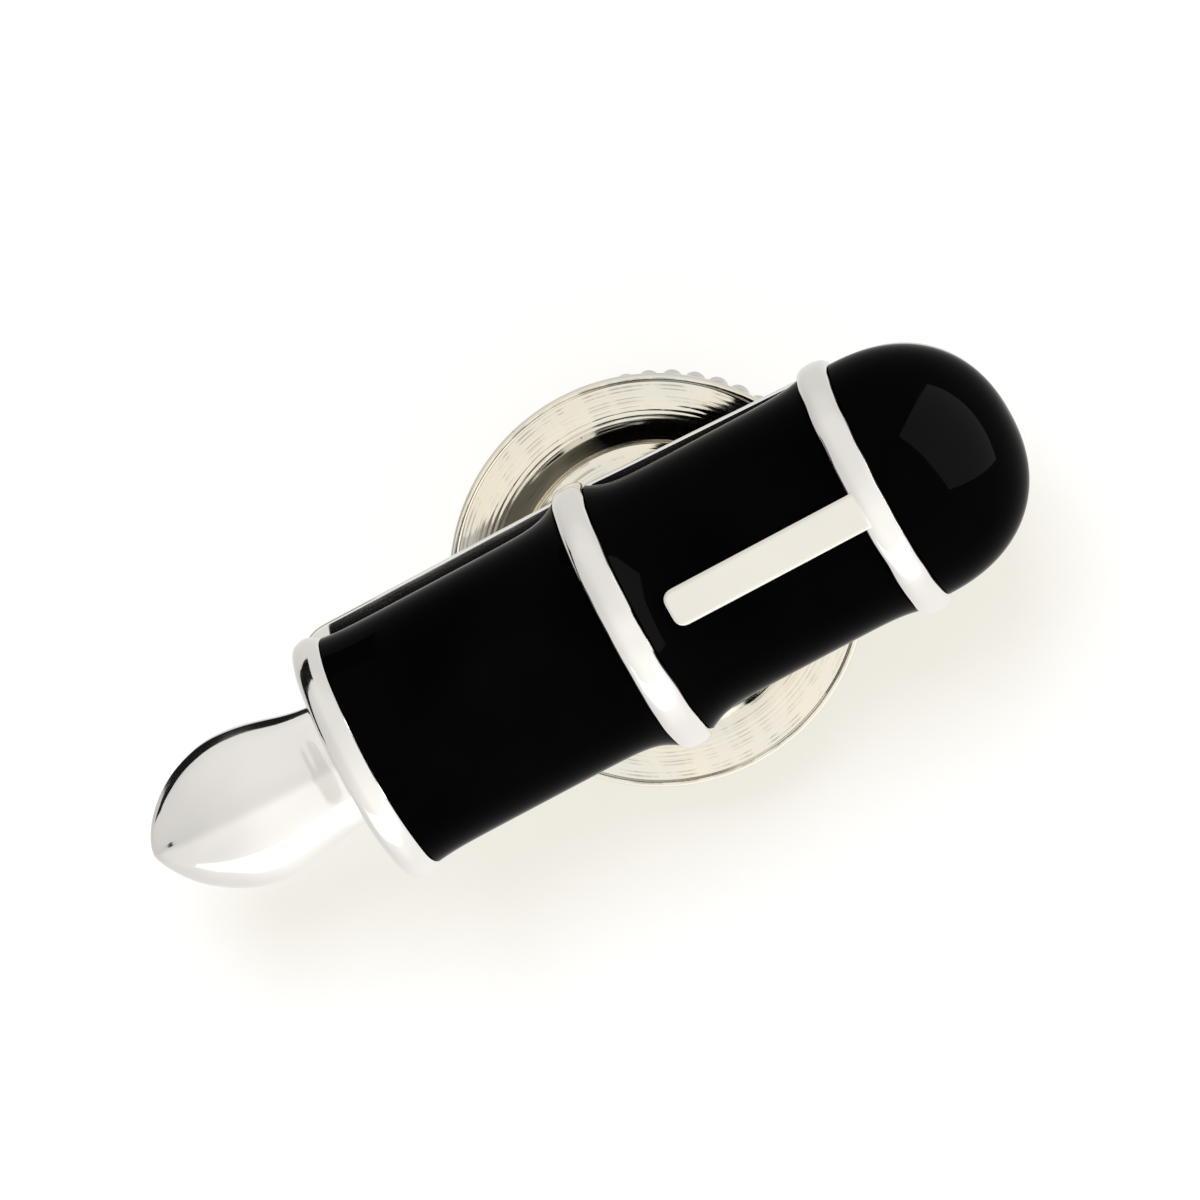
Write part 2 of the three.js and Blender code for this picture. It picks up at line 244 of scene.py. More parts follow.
def lay_along_pen(bm):
    """Takes a mesh turned about Z to the pen's axis, and cuts it flat at the pen's back."""
    turn = Matrix.Rotation(math.pi / 2, 4, "Y")
    bmesh.ops.transform(bm, matrix=Matrix.Translation((0, 0, PEN_Z)) @ turn, verts=bm.verts)
    everything = list(bm.verts) + list(bm.edges) + list(bm.faces)
    cut = bmesh.ops.bisect_plane(
        bm, geom=everything, plane_co=(0, 0, PEN_BACK + SEAM), plane_no=(0, 0, 1), clear_inner=True)
    edges = [e for e in cut["geom_cut"] if isinstance(e, bmesh.types.BMEdge)]
    bmesh.ops.triangle_fill(bm, use_beauty=True, edges=edges)
    bmesh.ops.recalc_face_normals(bm, faces=bm.faces)
    return bm


def roughen(bm, amount, size, seed):
    """Moves each vertex a little, smoothly, as a cast surface wanders."""
    for vert in bm.verts:
        place = vert.co / size + Vector((seed, seed, seed))
        vert.co += amount * noise.noise_vector(place)


def as_object(name, bm, material):
    """Links an object with one material, from a mesh in metres."""
    mesh = bpy.data.meshes.new(name)
    bm.to_mesh(mesh)
    bm.free()
    mesh.materials.append(material)
    obj = bpy.data.objects.new(name, mesh)
    bpy.context.scene.collection.objects.link(obj)
    return obj


def piece(name, bm, body, material, replaced, edge=0.0, smooth_angle=50):
    """Makes a piece from a mesh in millimetres and fits it into the frame. edge rounds its sharp edges."""
    bmesh.ops.scale(bm, vec=(MM, MM, MM), verts=bm.verts)
    limit = math.radians(smooth_angle)
    for face in bm.faces:
        face.smooth = True
    for line in bm.edges:
        line.smooth = len(line.link_faces) == 2 and line.calc_face_angle(0) < limit
    obj = as_object(name, bm, material)
    if edge:
        bevel = obj.modifiers.new("edge", "BEVEL")
        bevel.width = edge * MM
        bevel.segments = 3
        bevel.limit_method = "ANGLE"
        bevel.angle_limit = limit
    weighted = obj.modifiers.new("normals", "WEIGHTED_NORMAL")
    weighted.keep_sharp = True
    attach(obj, body)
    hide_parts(*replaced)
    if material.name == "black_enamel":
        GLOSSY_BLACK.objects.link(obj)
    return obj


# ---------------------------------------------------------------- materials

class Surface:
    """A material on a Principled shader, with short calls for the nodes that feed it."""

    def __init__(self, name, **settings):
        self.material = bpy.data.materials.new(name)
        self.material.use_nodes = True
        self.tree = self.material.node_tree
        self.shader = self.tree.nodes["Principled BSDF"]
        for socket, value in settings.items():
            self.shader.inputs[socket.replace("_", " ")].default_value = value
        self.place = self.tree.nodes.new("ShaderNodeTexCoord").outputs["Object"]

    def node(self, kind, **inputs):
        """A new node with the named inputs fed."""
        new = self.tree.nodes.new(kind)
        for name, value in inputs.items():
            self.feed(new.inputs[name.replace("_", " ")], value)
        return new

    def feed(self, socket, value):
        """Links the socket to another node's output, or sets it to a plain value."""
        if isinstance(value, bpy.types.NodeSocket):
            self.tree.links.new(value, socket)
        else:
            socket.default_value = value

    def maths(self, operation, *values):
        """A sum, product or comparison of values."""
        new = self.tree.nodes.new("ShaderNodeMath")
        new.operation = operation
        for socket, value in zip(new.inputs, values):
            self.feed(socket, value)
        return new.outputs[0]

    def stretched(self, x, y, z):
        """The place with each axis scaled: below 1, a pattern grows longer that way."""
        mapping = self.node("ShaderNodeMapping", Vector=self.place)
        mapping.inputs["Scale"].default_value = (x, y, z)
        return mapping.outputs[0]

    def clouds(self, size_mm, detail=2.0, where=None):
        """Smooth noise whose features are about size_mm across."""
        new = self.node("ShaderNodeTexNoise", Scale=1 / (size_mm * MM), Detail=detail)
        self.feed(new.inputs["Vector"], where or self.place)
        return new.outputs["Fac"]

    def between(self, value, low, high, from_low=0.3, from_high=0.7):
        """Goes from low to high as value goes from from_low to from_high."""
        new = self.node("ShaderNodeMapRange", Value=value)
        new.inputs["From Min"].default_value = from_low
        new.inputs["From Max"].default_value = from_high
        new.inputs["To Min"].default_value = low
        new.inputs["To Max"].default_value = high
        return new.outputs[0]

    def mixed(self, factor, first, second):
        """The first colour at factor 0, the second at 1."""
        new = self.tree.nodes.new("ShaderNodeMix")
        new.data_type = "RGBA"
        self.feed(new.inputs[0], factor)
        self.feed(new.inputs[6], (*first, 1) if isinstance(first, tuple) else first)
        self.feed(new.inputs[7], (*second, 1) if isinstance(second, tuple) else second)
        return new.outputs[2]

    def specks(self, spacing_mm, radius, share):
        """1 inside sparse round dots, else 0. share of the cells hold one."""
        cells = self.node("ShaderNodeTexVoronoi", Scale=1 / (spacing_mm * MM), Vector=self.place)
        near = self.maths("LESS_THAN", cells.outputs["Distance"], radius)
        chosen = self.maths("LESS_THAN", self.red(cells.outputs["Color"]), share)
        return self.maths("MULTIPLY", near, chosen)

    def red(self, colour):
        return self.node("ShaderNodeSeparateColor", Color=colour).outputs[0]

    def along(self, axis):
        """The place along X, Y or Z, in metres."""
        return self.node("ShaderNodeSeparateXYZ", Vector=self.place).outputs[axis]

    def from_axis(self):
        """Distance from the post's axis, in metres."""
        flat = self.node("ShaderNodeVectorMath")
        flat.operation = "MULTIPLY"
        self.feed(flat.inputs[0], self.place)
        flat.inputs[1].default_value = (1, 1, 0)
        length = self.node("ShaderNodeVectorMath")
        length.operation = "LENGTH"
        self.feed(length.inputs[0], flat.outputs[0])
        return length.outputs["Value"]

    def colour(self, value):
        self.feed(self.shader.inputs["Base Color"], value)

    def roughness(self, value):
        self.feed(self.shader.inputs["Roughness"], value)

    def bump(self, height, depth_mm):
        """Adds a bump over any that is already there."""
        new = self.node("ShaderNodeBump", Height=height, Distance=depth_mm * MM)
        before = self.shader.inputs["Normal"]
        if before.is_linked:
            self.feed(new.inputs["Normal"], before.links[0].from_socket)
        self.feed(before, new.outputs[0])


def plated_metal(name, tint=BRIGHT_PLATING, roughness=0.07, wander=0.012):
    """White plating over a polished casting: a clear mirror that wanders with the casting under it."""
    surface = Surface(name, Metallic=1.0)
    tone = surface.between(surface.clouds(2.5), 0, 1)
    darker = tuple(0.96 * c for c in tint)
    surface.colour(surface.mixed(tone, darker, tint))
    wiped = surface.clouds(0.35, detail=4, where=surface.stretched(0.25, 1, 1))
    surface.roughness(surface.between(wiped, roughness, roughness + 0.07))
    surface.bump(surface.clouds(1.3, detail=1), wander)
    surface.bump(surface.clouds(0.06, detail=3, where=surface.stretched(0.15, 1, 1)), 0.0006)
    surface.bump(surface.specks(0.55, 0.05, 0.12), -0.004)
    return surface.material


def satin_back():
    """Bright plating on the plate's edge, and brushed satin beneath with painted shade that darkens it
    towards the cap.
    """
    surface = Surface("plated_back", Metallic=1.0)
    under = surface.maths("LESS_THAN", surface.along("Z"), (PLATE.low.z + 0.03) * MM)
    brushed = surface.clouds(0.05, detail=4, where=surface.stretched(0.04, 1, 1))
    satin = surface.mixed(brushed, (0.8, 0.8, 0.84), (1.0, 1.0, 1.0))
    # painted shade: the satin's colour falls from bright at the nib end to near black towards the cap,
    # standing in for the shade under the plate
    painted_shade_satin = surface.node("ShaderNodeVectorMath", Vector=satin)
    painted_shade_satin.operation = "SCALE"
    shade = surface.between(surface.along("X"), 0.9, 0.015, -1.0 * MM, 0.1 * MM)
    surface.feed(painted_shade_satin.inputs["Scale"], shade)
    surface.colour(surface.mixed(under, BRIGHT_PLATING, painted_shade_satin.outputs[0]))
    surface.roughness(surface.between(under, 0.08, 0.30, 0, 1))
    surface.bump(brushed, 0.0008)
    surface.bump(surface.clouds(1.2, detail=1), 0.006)
    return surface.material


def black_enamel(name):
    """Deep black enamel, flowed smooth, with a faint orange peel and a few grains of dust."""
    surface = Surface(name, Metallic=0.0, IOR=1.5, Specular_IOR_Level=0.006)
    dust = surface.specks(1.5, 0.028, 0.4)
    depth = surface.between(surface.clouds(3), 0, 1)
    ground = surface.mixed(depth, (0.0002, 0.0002, 0.0003), (0.0005, 0.0005, 0.0005))
    surface.colour(surface.mixed(dust, ground, (0.16, 0.16, 0.15)))
    surface.roughness(surface.between(surface.clouds(0.9, detail=3), 0.03, 0.09))
    surface.bump(surface.clouds(1.1, detail=1), 0.004)
    surface.bump(surface.clouds(0.25, detail=2), 0.0004)
    return surface.material


def turned_nickel(name, tint=(0.89, 0.835, 0.70), lines=1.0, roughness=0.03):
    """Nickel finished on a lathe: fine rings about the post's axis, dark worn streaks, small nicks."""
    surface = Surface(name, Metallic=1.0, Anisotropic=0.3)
    below_face = surface.maths("SUBTRACT", surface.along("Z"), DISC.high.z * MM)
    # The rings' measure: it runs outwards on a face, and along the axis on a cylinder.
    tool_path = surface.maths("ADD", surface.from_axis(), below_face)
    tangent = surface.tree.nodes.new("ShaderNodeTangent")
    tangent.direction_type = "RADIAL"
    tangent.axis = "Z"
    surface.feed(surface.shader.inputs["Tangent"], tangent.outputs[0])
    rings = []
    for width_mm in (0.30, 0.07, 0.025):
        ring = surface.node("ShaderNodeTexNoise", Detail=2.0)
        ring.noise_dimensions = "1D"
        ring.inputs["Scale"].default_value = 1 / (width_mm * MM)
        surface.feed(ring.inputs["W"], tool_path)
        rings.append(ring.outputs["Fac"])
    patches = surface.between(surface.clouds(1.8, detail=3), 0, 1)
    cooler = tuple(c * k for c, k in zip(tint, (0.91, 0.96, 1.06)))
    ground = surface.mixed(patches, tint, cooler)
    wear = surface.clouds(0.5, detail=4, where=surface.stretched(1, 0.4, 1))
    worn = surface.between(wear, 0, 1, 0.45, 0.62)
    streak = surface.maths("MULTIPLY", worn, surface.between(rings[1], 0.0, 0.55, 0.5, 0.66))
    ground = surface.mixed(streak, ground, tuple(0.30 * c for c in tint))
    nick = surface.specks(0.36, 0.07, 0.22)
    surface.colour(surface.mixed(nick, ground, (0.42, 0.37, 0.30)))
    surface.roughness(surface.between(rings[0], roughness, roughness + 0.07))
    surface.bump(rings[0], 0.0012 * lines)
    surface.bump(rings[1], 0.0006 * lines)
    surface.bump(rings[2], 0.0003 * lines)
    surface.bump(nick, -0.004)
    return surface.material


def steel(name, tint=(0.72, 0.72, 0.73), roughness=0.16, draw=(1, 1, 0.06)):
    """Bright steel with fine lines along the way it was drawn or rolled."""
    surface = Surface(name, Metallic=1.0)
    grain = surface.clouds(0.05, detail=3, where=surface.stretched(*draw))
    surface.colour(surface.mixed(grain, tuple(0.85 * c for c in tint), tint))
    surface.roughness(surface.between(grain, roughness, roughness + 0.12))
    surface.bump(grain, 0.0008)
    return surface.material


def turned_brass(name):
    """Unplated brass, a little dulled in patches."""
    surface = Surface(name, Metallic=1.0)
    dulled = surface.between(surface.clouds(0.8, detail=4), 0, 1)
    surface.colour(surface.mixed(dulled, (0.80, 0.60, 0.30), (0.62, 0.46, 0.25)))
    surface.roughness(surface.between(dulled, 0.2, 0.38))
    surface.bump(surface.clouds(0.04, detail=2, where=surface.stretched(0.2, 0.2, 1)), 0.001)
    return surface.material


def pale_floor():
    """A white sheet with a barely visible tooth, lit a little from below so that shadows stay faint."""
    surface = Surface("floor_sheet", Roughness=0.9, Specular_IOR_Level=0.1)
    surface.shader.inputs["Emission Color"].default_value = (1.0, 0.93, 0.76, 1)
    surface.shader.inputs["Emission Strength"].default_value = 0.66
    tooth = surface.clouds(0.6, detail=4)
    surface.colour(surface.mixed(tooth, (0.235, 0.262, 0.325), (0.25, 0.277, 0.34)))
    surface.bump(tooth, 0.003)
    return surface.material


# ---------------------------------------------------------------- the pen

def shell(outer, core_radius):
    """A closed outline between an outer surface and the core. outer holds (x, radius) points."""
    inner = [(outer[-1][0], core_radius), (outer[0][0], core_radius)]
    return [(radius, x) for x, radius in outer + inner]


def crown_curve(base, end, radius, steps=40):
    """A superellipse from the crown's base to its tip, as (x, radius) points."""
    points = []
    for i in range(steps + 1):
        angle = math.pi / 2 * i / steps
        along = math.sin(angle) ** (2 / CROWN_POWER)
        across = math.cos(angle) ** (2 / CROWN_POWER) if i < steps else 0.0
        points.append((base + (end - base) * along, radius * across))
    return points


def meniscus(left_ring, right_ring, radius, steps=60):
    """The enamel between two rings, climbing to the side of each, as (x, radius) points."""

    def climb(ring, away):
        height = ring.size.y / 2 - RING_STANDS_OUT - radius
        return height * math.exp(-(max(away, 0) / CLIMB_LENGTH) ** 1.15)

    start, end = left_ring.high.x + SEAM, right_ring.low.x - SEAM
    points = []
    for i in range(steps + 1):
        x = start + (end - start) * i / steps
        points.append((x, radius + climb(left_ring, x - start) + climb(right_ring, end - x)))
    return points


def ring_outline(box, crown=0.3):
    """A ring's closed section: its core side flat, its outer side crowned."""
    start, end, radius = box.low.x, box.high.x, box.size.y / 2
    centre = (start + end) / 2
    half = (end - start) / 2
    steps = 24
    power = 2.6
    outer = []
    for i in range(steps + 1):
        t = -1 + 2 * i / steps
        drop = crown * (1 - (1 - abs(t) ** power) ** (1 / power))
        outer.append((centre + half * t, radius - drop - 0.02 * t * t))
    return shell(outer, CORE_R + SEAM)


def make_pen():
    """Every piece of the pen itself, from the rings to the back plate."""
    plated = plated_metal("plated_rings")
    for name, box in (("middle_ring", MIDDLE), ("cap_ring", CAP_RING)):
        bm = turned(ring_outline(box), turns=256)
        roughen(bm, 0.03, 0.8, seed=box.low.x)
        piece(name + "_cast", lay_along_pen(bm), "pen", plated, [name], edge=0.03)
    make_collar(plated)
    make_core(plated)
    enamel = black_enamel("black_enamel")
    barrel = meniscus(COLLAR, MIDDLE, BARREL_R)
    bm = lay_along_pen(turned(shell(barrel, CORE_R + SEAM), turns=192))
    piece("barrel_enamel_flowed", bm, "pen", enamel, ["barrel_enamel"], edge=0.05)
    cap = meniscus(MIDDLE, CAP_RING, CAP_R)
    bm = lay_along_pen(turned(shell(cap, CORE_R + SEAM), turns=256))
    climb_onto_clip(bm)
    piece("cap_enamel_flowed", bm, "pen", enamel, ["cap_enamel"], edge=0.05)
    make_crown(enamel)
    make_clip(plated_metal("plated_clip", tint=(0.865, 0.85, 0.79)))
    make_nib(plated_metal("plated_nib", wander=0.02))
    make_back_plate()


def make_collar(material):
    """The ring at the nib end: bull-nosed towards the nib, with a shallow dished face around its root."""
    start, end, radius = COLLAR.low.x, COLLAR.high.x, COLLAR.size.y / 2
    face = [(0, start + 0.1), (1.6, start + 0.1),
            (radius - 0.75, start + 0.04), (radius - 0.42, start, 0.1)]
    rim = [(radius - 0.1, start + 0.12, 0.2), (radius, end - 0.35, 0.3),
           (radius - 0.2, end, 0.12), (0, end)]
    outline = softened(face + rim, 0.3, steps=8, closed=False)
    bm = turned(outline, turns=256, closed=False)
    roughen(bm, 0.015, 1.2, seed=4)
    bm = lay_along_pen(bm)
    piece("nib_collar_cast", bm, "pen", material, ["nib_collar"], edge=0.04)


def make_core(material):
    """The casting under the enamel, hidden but for its back and its ends."""
    start = COLLAR.high.x + SEAM
    inset = CROWN.size.y / 2 - CORE_R
    dome = crown_curve(CAP_RING.high.x, CROWN.high.x - inset, CORE_R - SEAM)
    outline = [(0, start)] + [(radius, x) for x, radius in [(start, CORE_R - SEAM)] + dome]
    bm = lay_along_pen(turned(outline, turns=128, closed=False))
    piece("body_casting_core", bm, "pen", material, ["body_casting"], edge=0.03)


def make_crown(material):
    """The domed end: a shell of enamel of one thickness over the casting."""
    base = CAP_RING.high.x + SEAM
    radius = CROWN.size.y / 2
    outer = crown_curve(base, CROWN.high.x, radius)
    thickness = radius - CORE_R - SEAM
    inner = crown_curve(base, CROWN.high.x - thickness, CORE_R + SEAM)
    outline = [(r, x) for x, r in outer] + [(r, x) for x, r in reversed(inner)]
    bm = lay_along_pen(turned(outline, turns=192, closed=True))
    piece("crown_enamel_flowed", bm, "pen", material, ["crown_enamel"], edge=0.04)


def climb_onto_clip(bm):
    """Raises the enamel a little where it meets the clip's sides."""
    half = CLIP.size.y / 2
    for vert in bm.verts:
        if vert.co.z < PEN_Z + 1:
            continue
        outside_y = max(abs(vert.co.y) - half, 0)
        outside_x = max(CLIP.low.x - vert.co.x, 0)
        away = math.hypot(outside_x, outside_y)
        if math.hypot(vert.co.y, vert.co.z - PEN_Z) > CORE_R + 0.2:
            vert.co.z += CLIP_CLIMB * math.exp(-away / 0.12)


def make_clip(material):
    """A flat bar with soft edges, rounded at its free end, that runs into the cap ring."""
    half = CLIP.size.y / 2
    corner = 0.34
    into_ring = 0.25
    start, end = CLIP.low.x, CLIP.high.x + into_ring
    bar = [(end, half, 0), (start, half), (start, -half), (end, -half, 0)]
    bm = drawn_up(softened(bar, corner, steps=8), PEN_Z + CORE_R, CLIP.high.z)
    top = [e for e in bm.edges if all(v.co.z > CLIP.high.z - 0.01 for v in e.verts)]
    bmesh.ops.bevel(bm, geom=top, offset=0.13, segments=6, profile=0.6, affect="EDGES")
    bmesh.ops.triangulate(bm, faces=[f for f in bm.faces if len(f.verts) > 4])
    roughen(bm, 0.012, 0.9, seed=7)
    piece("pocket_clip_cast", bm, "pen", material, ["pocket_clip"])


def nib_half_width(x):
    """Half the nib's width at x: it swells from the collar, then closes to a blunt round tip."""
    root = COLLAR.low.x
    if x > NIB_WIDEST:
        share = (x - NIB_WIDEST) / (root - NIB_WIDEST)
        return NIB_HALF - NIB_ROOT_DROP * share ** 2 * (3 - 2 * min(share, 1))
    share = min((NIB_WIDEST - x) / (NIB_WIDEST - NIB.low.x), 1)
    return NIB_HALF * (1 - share ** 1.9) ** 0.66


def make_nib(material):
    """A leaf with a soft centre ridge, hollowed to a saddle where it leaves the collar."""
    bm = bmesh.new()
    rows = 90
    across = 96
    root = COLLAR.low.x + 0.3
    loops = []
    for i in range(rows + 1):
        share = 1 - (1 - i / rows) ** 2
        x = root + (NIB.low.x - root) * share
        loops.append([bm.verts.new(point) for point in nib_section(x, across)])
    for lower, upper in zip(loops, loops[1:]):
        join_rings(bm, lower, upper)
    bm.faces.new(loops[0])
    bm.faces.new(loops[-1])
    bmesh.ops.recalc_face_normals(bm, faces=bm.faces)
    roughen(bm, 0.02, 0.9, seed=11)
    piece("nib_cast", bm, "pen", material, ["nib"], smooth_angle=70)


def nib_section(x, across):
    """A closed section of the nib at x: soft facets, rolled over at the -Y edge, and a flat back."""
    half = max(nib_half_width(x), 0.03)
    full = half / NIB_HALF
    out = min(max((COLLAR.low.x - x) / (COLLAR.low.x - NIB.low.x), 0), 1)  # 0 at the collar, 1 at the tip
    middle = 0.10 + 0.12 * out                 # it leans a little towards +Y
    edge_z = PEN_Z - 0.75 - 0.25 * out ** 2    # and droops towards its tip
    saddle = 0.22 * math.exp(-((out - 0.06) / 0.12) ** 2)
    height = (NIB_HEIGHT - saddle) * full ** 0.8
    depth = 0.9 * full ** 0.6
    steep = NIB_EDGE_SLOPE * half / height
    points = []
    for j in range(across):
        angle = TAU * j / across
        side = math.cos(angle)
        if math.sin(angle) >= 0:
            roll = math.sqrt(1 - side ** 8) if side < 0 else 1
            z = edge_z + height * nib_facets(side, steep) * roll + root_wrinkles(out, side)
        else:
            z = max(edge_z - depth * abs(math.sin(angle)) ** 0.8, PEN_BACK + 0.05)
        points.append((x, middle + half * side, z))
    return points


def nib_facets(side, steep):
    """The nib's top as a share of its height, from side = -1 at the -Y edge to 1 at the +Y edge.

    It is the lowest of four planes at each place, with the creases between them softened.
    """
    ridge, fold = 0.02, -0.48
    beyond = max(side - ridge, 0)
    upper = 1 - 0.40 * (side - ridge) - 0.10 * (1 - math.exp(-beyond / 0.10))
    centre = 1 + 0.22 * (side - ridge)
    lower = 1 + 0.22 * (fold - ridge) + 0.95 * (side - fold)
    edge = 0.34 + steep * (1 - side)
    sharpness = 48
    total = sum(math.exp(-sharpness * plane) for plane in (upper, centre, lower, edge))
    return -math.log(total) / sharpness


def root_wrinkles(out, side):
    """Small casting wrinkles where the nib meets the collar."""
    height, spacing = 0.028, 0.055
    near = math.exp(-((out - 0.09) / 0.05) ** 2 - ((side - 0.25) / 0.22) ** 2)
    return height * near * math.sin(TAU * out / spacing)


def make_back_plate():
    """The flat plate that closes the back, a little wider than the enamel."""
    half = PLATE.size.y / 2
    crown = crown_curve(CAP_RING.high.x, PLATE.high.x, half - PLATE_INSET, steps=24)
    side = [(MIDDLE.high.x, half)] + crown
    mirrored = [(x, -y) for x, y in reversed(side[:-1])]
    corners = [(PLATE.low.x, half, PLATE_CORNER_R), (PLATE.low.x, -half, PLATE_CORNER_R)]
    outline = softened([corners[0]] + side + mirrored + [corners[1]], 0, steps=10)
    bm = drawn_up(outline, PLATE.low.z, PLATE.high.z)
    rim = [e for e in bm.edges if abs(e.verts[0].co.z - e.verts[1].co.z) < 1e-6]
    bmesh.ops.bevel(bm, geom=rim, offset=0.06, segments=3, profile=0.6, affect="EDGES")
    bmesh.ops.triangulate(bm, faces=[f for f in bm.faces if len(f.verts) > 4])
    piece("back_plate_soldered", bm, "pen", satin_back(), ["back_plate"])


# ---------------------------------------------------------------- the post

def make_post():
    """The solder pad with its fillet, and the grooved needle."""
    radius = POST.size.x / 2
    bottom, top = PAD.low.z, PAD.high.z
    pad = [(radius + 0.015, top, 0), (PAD.size.x / 2, top), (PAD.size.x / 2, bottom + 0.06),
           (PAD.size.x / 2 - 0.25, bottom), (radius + 0.35, bottom), (radius + 0.015, bottom - 0.16, 0)]
    bm = turned(softened(pad, 0.08, steps=4), turns=128)
    material = plated_metal("plated_pad", roughness=0.14)
    piece("post_pad_soldered", bm, "pen", material, ["post_pad"])
    tip, head = POST.low.z, POST.high.z
    groove = tip + POST_GROOVE
    waist = radius - GROOVE_DEPTH
    needle = [(0, tip), (0.09, tip + 0.02, 0.05), (radius, tip + POST_POINT, 0.3),
              (radius, groove - 0.22, 0.05), (waist, groove - 0.08), (waist, groove + 0.08),
              (radius, groove + 0.22, 0.05), (radius, head), (0, head)]
    bm = turned(softened(needle, 0.06, steps=5, closed=False), turns=64, closed=False)
    piece("needle_post_ground", bm, "pen", steel("post_steel"), ["needle_post"])


# ---------------------------------------------------------------- the clutch

def make_disc():
    """The dished face: a flat rim, a step, and fine turned grooves over the dish."""
    radius = DISC.size.x / 2
    face, rear = DISC.high.z, DISC.low.z
    middle = face - DISC_STEP_DEPTH
    front = [(radius, face - 0.10, 0.06), (radius - 0.04, face, 0.04), (radius - 0.15, face, 0.03),
             (radius - 0.19, face - 0.05, 0.03)]
    front += turned_dish(radius - 0.22, face - 0.05, DISC_STEP_R + 0.10, face - DISC_DISH_DEPTH)
    front += [(DISC_STEP_R, middle, 0.03), (2.5, middle + 0.14, 0.3), (0.95, middle + 0.17, 0.1),
              (DISC_HOLE_R, middle, 0.05)]
    back = [(DISC_HOLE_R, rear, 0.03), (HOUSING.size.x / 2 + 0.4, rear, 0.2),
            (radius - 0.6, face - 0.52, 0.4), (radius - 0.03, face - 0.4, 0.1)]
    bm = turned(softened(front + back, 0.03, steps=4), turns=256)
    material = turned_nickel("disc_nickel")
    piece("flange_disc_turned", bm, "housing", material, ["flange_disc"])


def turned_dish(outer_r, outer_z, inner_r, inner_z, grooves=11):
    """The ring between the rim and the step: a low swell that falls away inwards, with tool grooves."""
    points = []
    steps = grooves * 8
    crest, crest_height = 0.5, 0.03
    for i in range(steps + 1):
        share = i / steps
        radius = outer_r + (inner_r - outer_r) * share
        swell = crest_height * math.sin(math.pi / 2 * min(share / crest, 1))
        fall = (inner_z - outer_z - crest_height) * (max(share - crest, 0) / (1 - crest)) ** 2
        depth = 0.0003 + 0.0012 * math.exp(-((share - 0.5) / 0.14) ** 2)
        points.append((radius, outer_z + swell + fall + depth * math.cos(TAU * grooves * share), 0))
    return points


def make_housing():
    """The drawn housing with its cone, the closing washer in its rear, and the loose spring seat."""
    radius = HOUSING.size.x / 2
    wall = radius - 0.15
    front, rear = HOUSING.high.z, HOUSING.low.z
    bore = WASHER.size.x / 2 + 0.02
    shoulder = rear + 2.55
    outline = [(CONE_FRONT_R, front), (radius, front), (radius, front - 0.5), (wall, front - 0.66),
               (wall, rear + 0.9, 0.2), (radius - 0.2, rear + 0.7, 0.2), (wall, rear + 0.5, 0.2),
               (wall, rear + 0.12), (radius - 0.27, rear), (bore, rear), (bore, shoulder - 0.1),
               (CONE_REAR_R, shoulder)]
    bm = turned(softened(outline, 0.06, steps=4), turns=160)
    nickel = turned_nickel("housing_nickel", lines=0.6, roughness=0.14)
    piece("cone_housing_drawn", bm, "housing", nickel, ["cone_housing"])
    make_washer("closing_washer", WASHER, "housing", nickel)
    make_washer("spring_seat", SEAT, "spring_pack", steel("seat_steel"))


def make_washer(name, box, body, material):
    """A flat washer round the cage's tube, with its edges broken."""
    inner = CAGE_TUBE_R + 0.09
    outer = box.size.x / 2
    outline = [(inner, box.low.z), (outer, box.low.z), (outer, box.high.z), (inner, box.high.z)]
    bm = turned(softened(outline, 0.04), turns=96)
    piece(name + "_pressed", bm, body, material, [name])


def make_spring():
    """Round wire in a helix, its coils a little closer together at the seat and at the cage."""
    wire = 0.1
    mean = SPRING.size.x / 2 - wire
    low, high = SPRING.low.z + wire, SPRING.high.z - wire
    points = []
    steps = int(SPRING_TURNS * 48)
    for i in range(steps + 1):
        share = i / steps
        rise = share - 0.06 * math.sin(TAU * share)
        angle = TAU * SPRING_TURNS * share
        points.append(Vector((mean * math.cos(angle), mean * math.sin(angle), low + (high - low) * rise)))
    material = steel("spring_steel", tint=(0.62, 0.61, 0.60))
    bm = swept(points, wire)
    spring = piece("return_spring_wound", bm, "spring_pack", material, ["return_spring"])
    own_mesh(spring)


def make_cage_and_balls():
    """The brass cage keeps its CAD form, which is never seen whole; the balls are turned finely."""
    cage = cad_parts["ball_cage"]
    cage.data.materials.clear()
    cage.data.materials.append(turned_brass("cage_brass"))
    ball_steel = steel("ball_steel", roughness=0.06, draw=(1, 1, 1))
    for i in range(BALL_COUNT):
        name = f"lock_ball_{i + 1}"
        box = Box(name)
        radius = box.size.z / 2
        outline = [(max(x, 0), z) for x, z in arc((0, 0), radius, -90, 90, 32)]
        outline[0], outline[-1] = (0, -radius), (0, radius)
        bm = turned(outline, turns=64, closed=False)
        angle = TAU * i / BALL_COUNT
        reach = POST.size.x / 2 + 0.03 + radius
        centre = Vector((reach * math.cos(angle), reach * math.sin(angle), box.middle.z))
        bmesh.ops.translate(bm, vec=centre, verts=bm.verts)
        piece(name + "_lapped", bm, f"ball_{i + 1}", ball_steel, [name])


